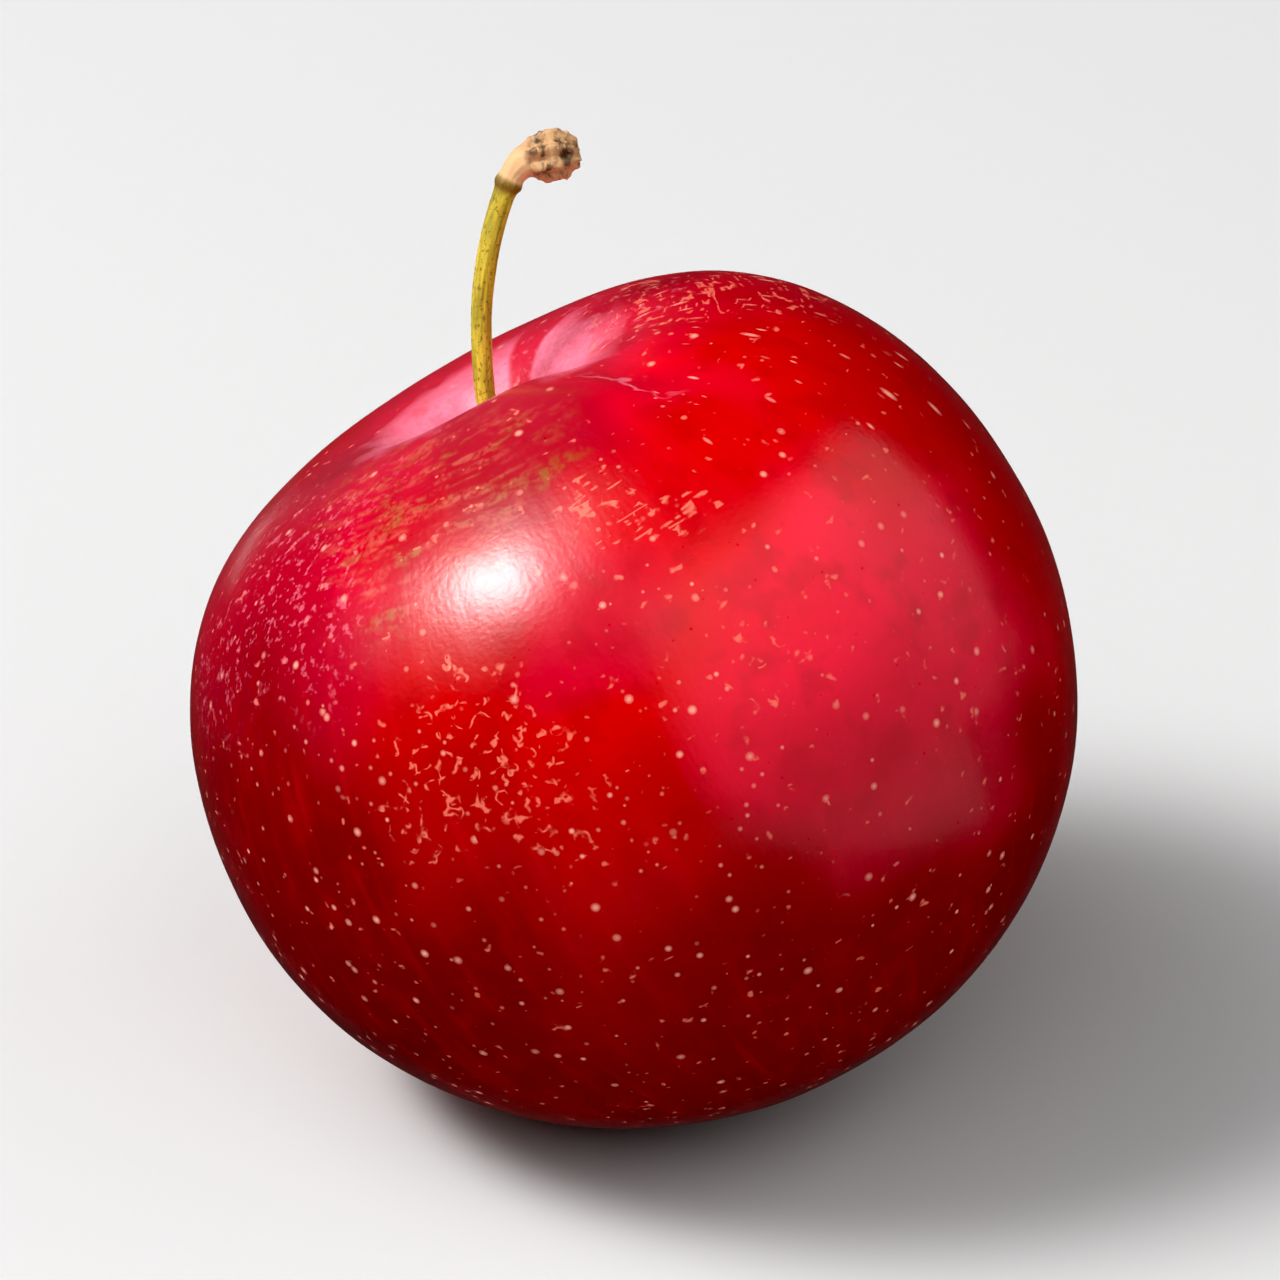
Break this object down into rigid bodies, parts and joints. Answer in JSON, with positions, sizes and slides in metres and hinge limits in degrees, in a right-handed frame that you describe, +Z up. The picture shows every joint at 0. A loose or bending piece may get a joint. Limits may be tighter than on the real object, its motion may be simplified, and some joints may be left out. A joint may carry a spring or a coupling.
{
  "type": "plum",
  "caption": "Ripe red plum with its curved stalk, lying on a small flat spot: a round stone fruit with a stalk cavity and a shallow seam, leaning to one side.",
  "frame": {"origin": "middle of the flat spot that the plum rests on", "axes": "+Z up; the stalk end leans 27 degrees towards -X and 10 degrees towards +Y; -Y is the side with the seam's upper end and the best view of the stalk cavity"},
  "size_m": [0.0567, 0.0558, 0.0622],
  "materials": {
    "skin": "glossy dark red skin with pale specks",
    "stalk": "matte yellow-green to brown, ridged lengthwise"
  },
  "bodies": {
    "root": {"fruit": "skin", "stalk": "stalk"}
  },
  "joints": []
}
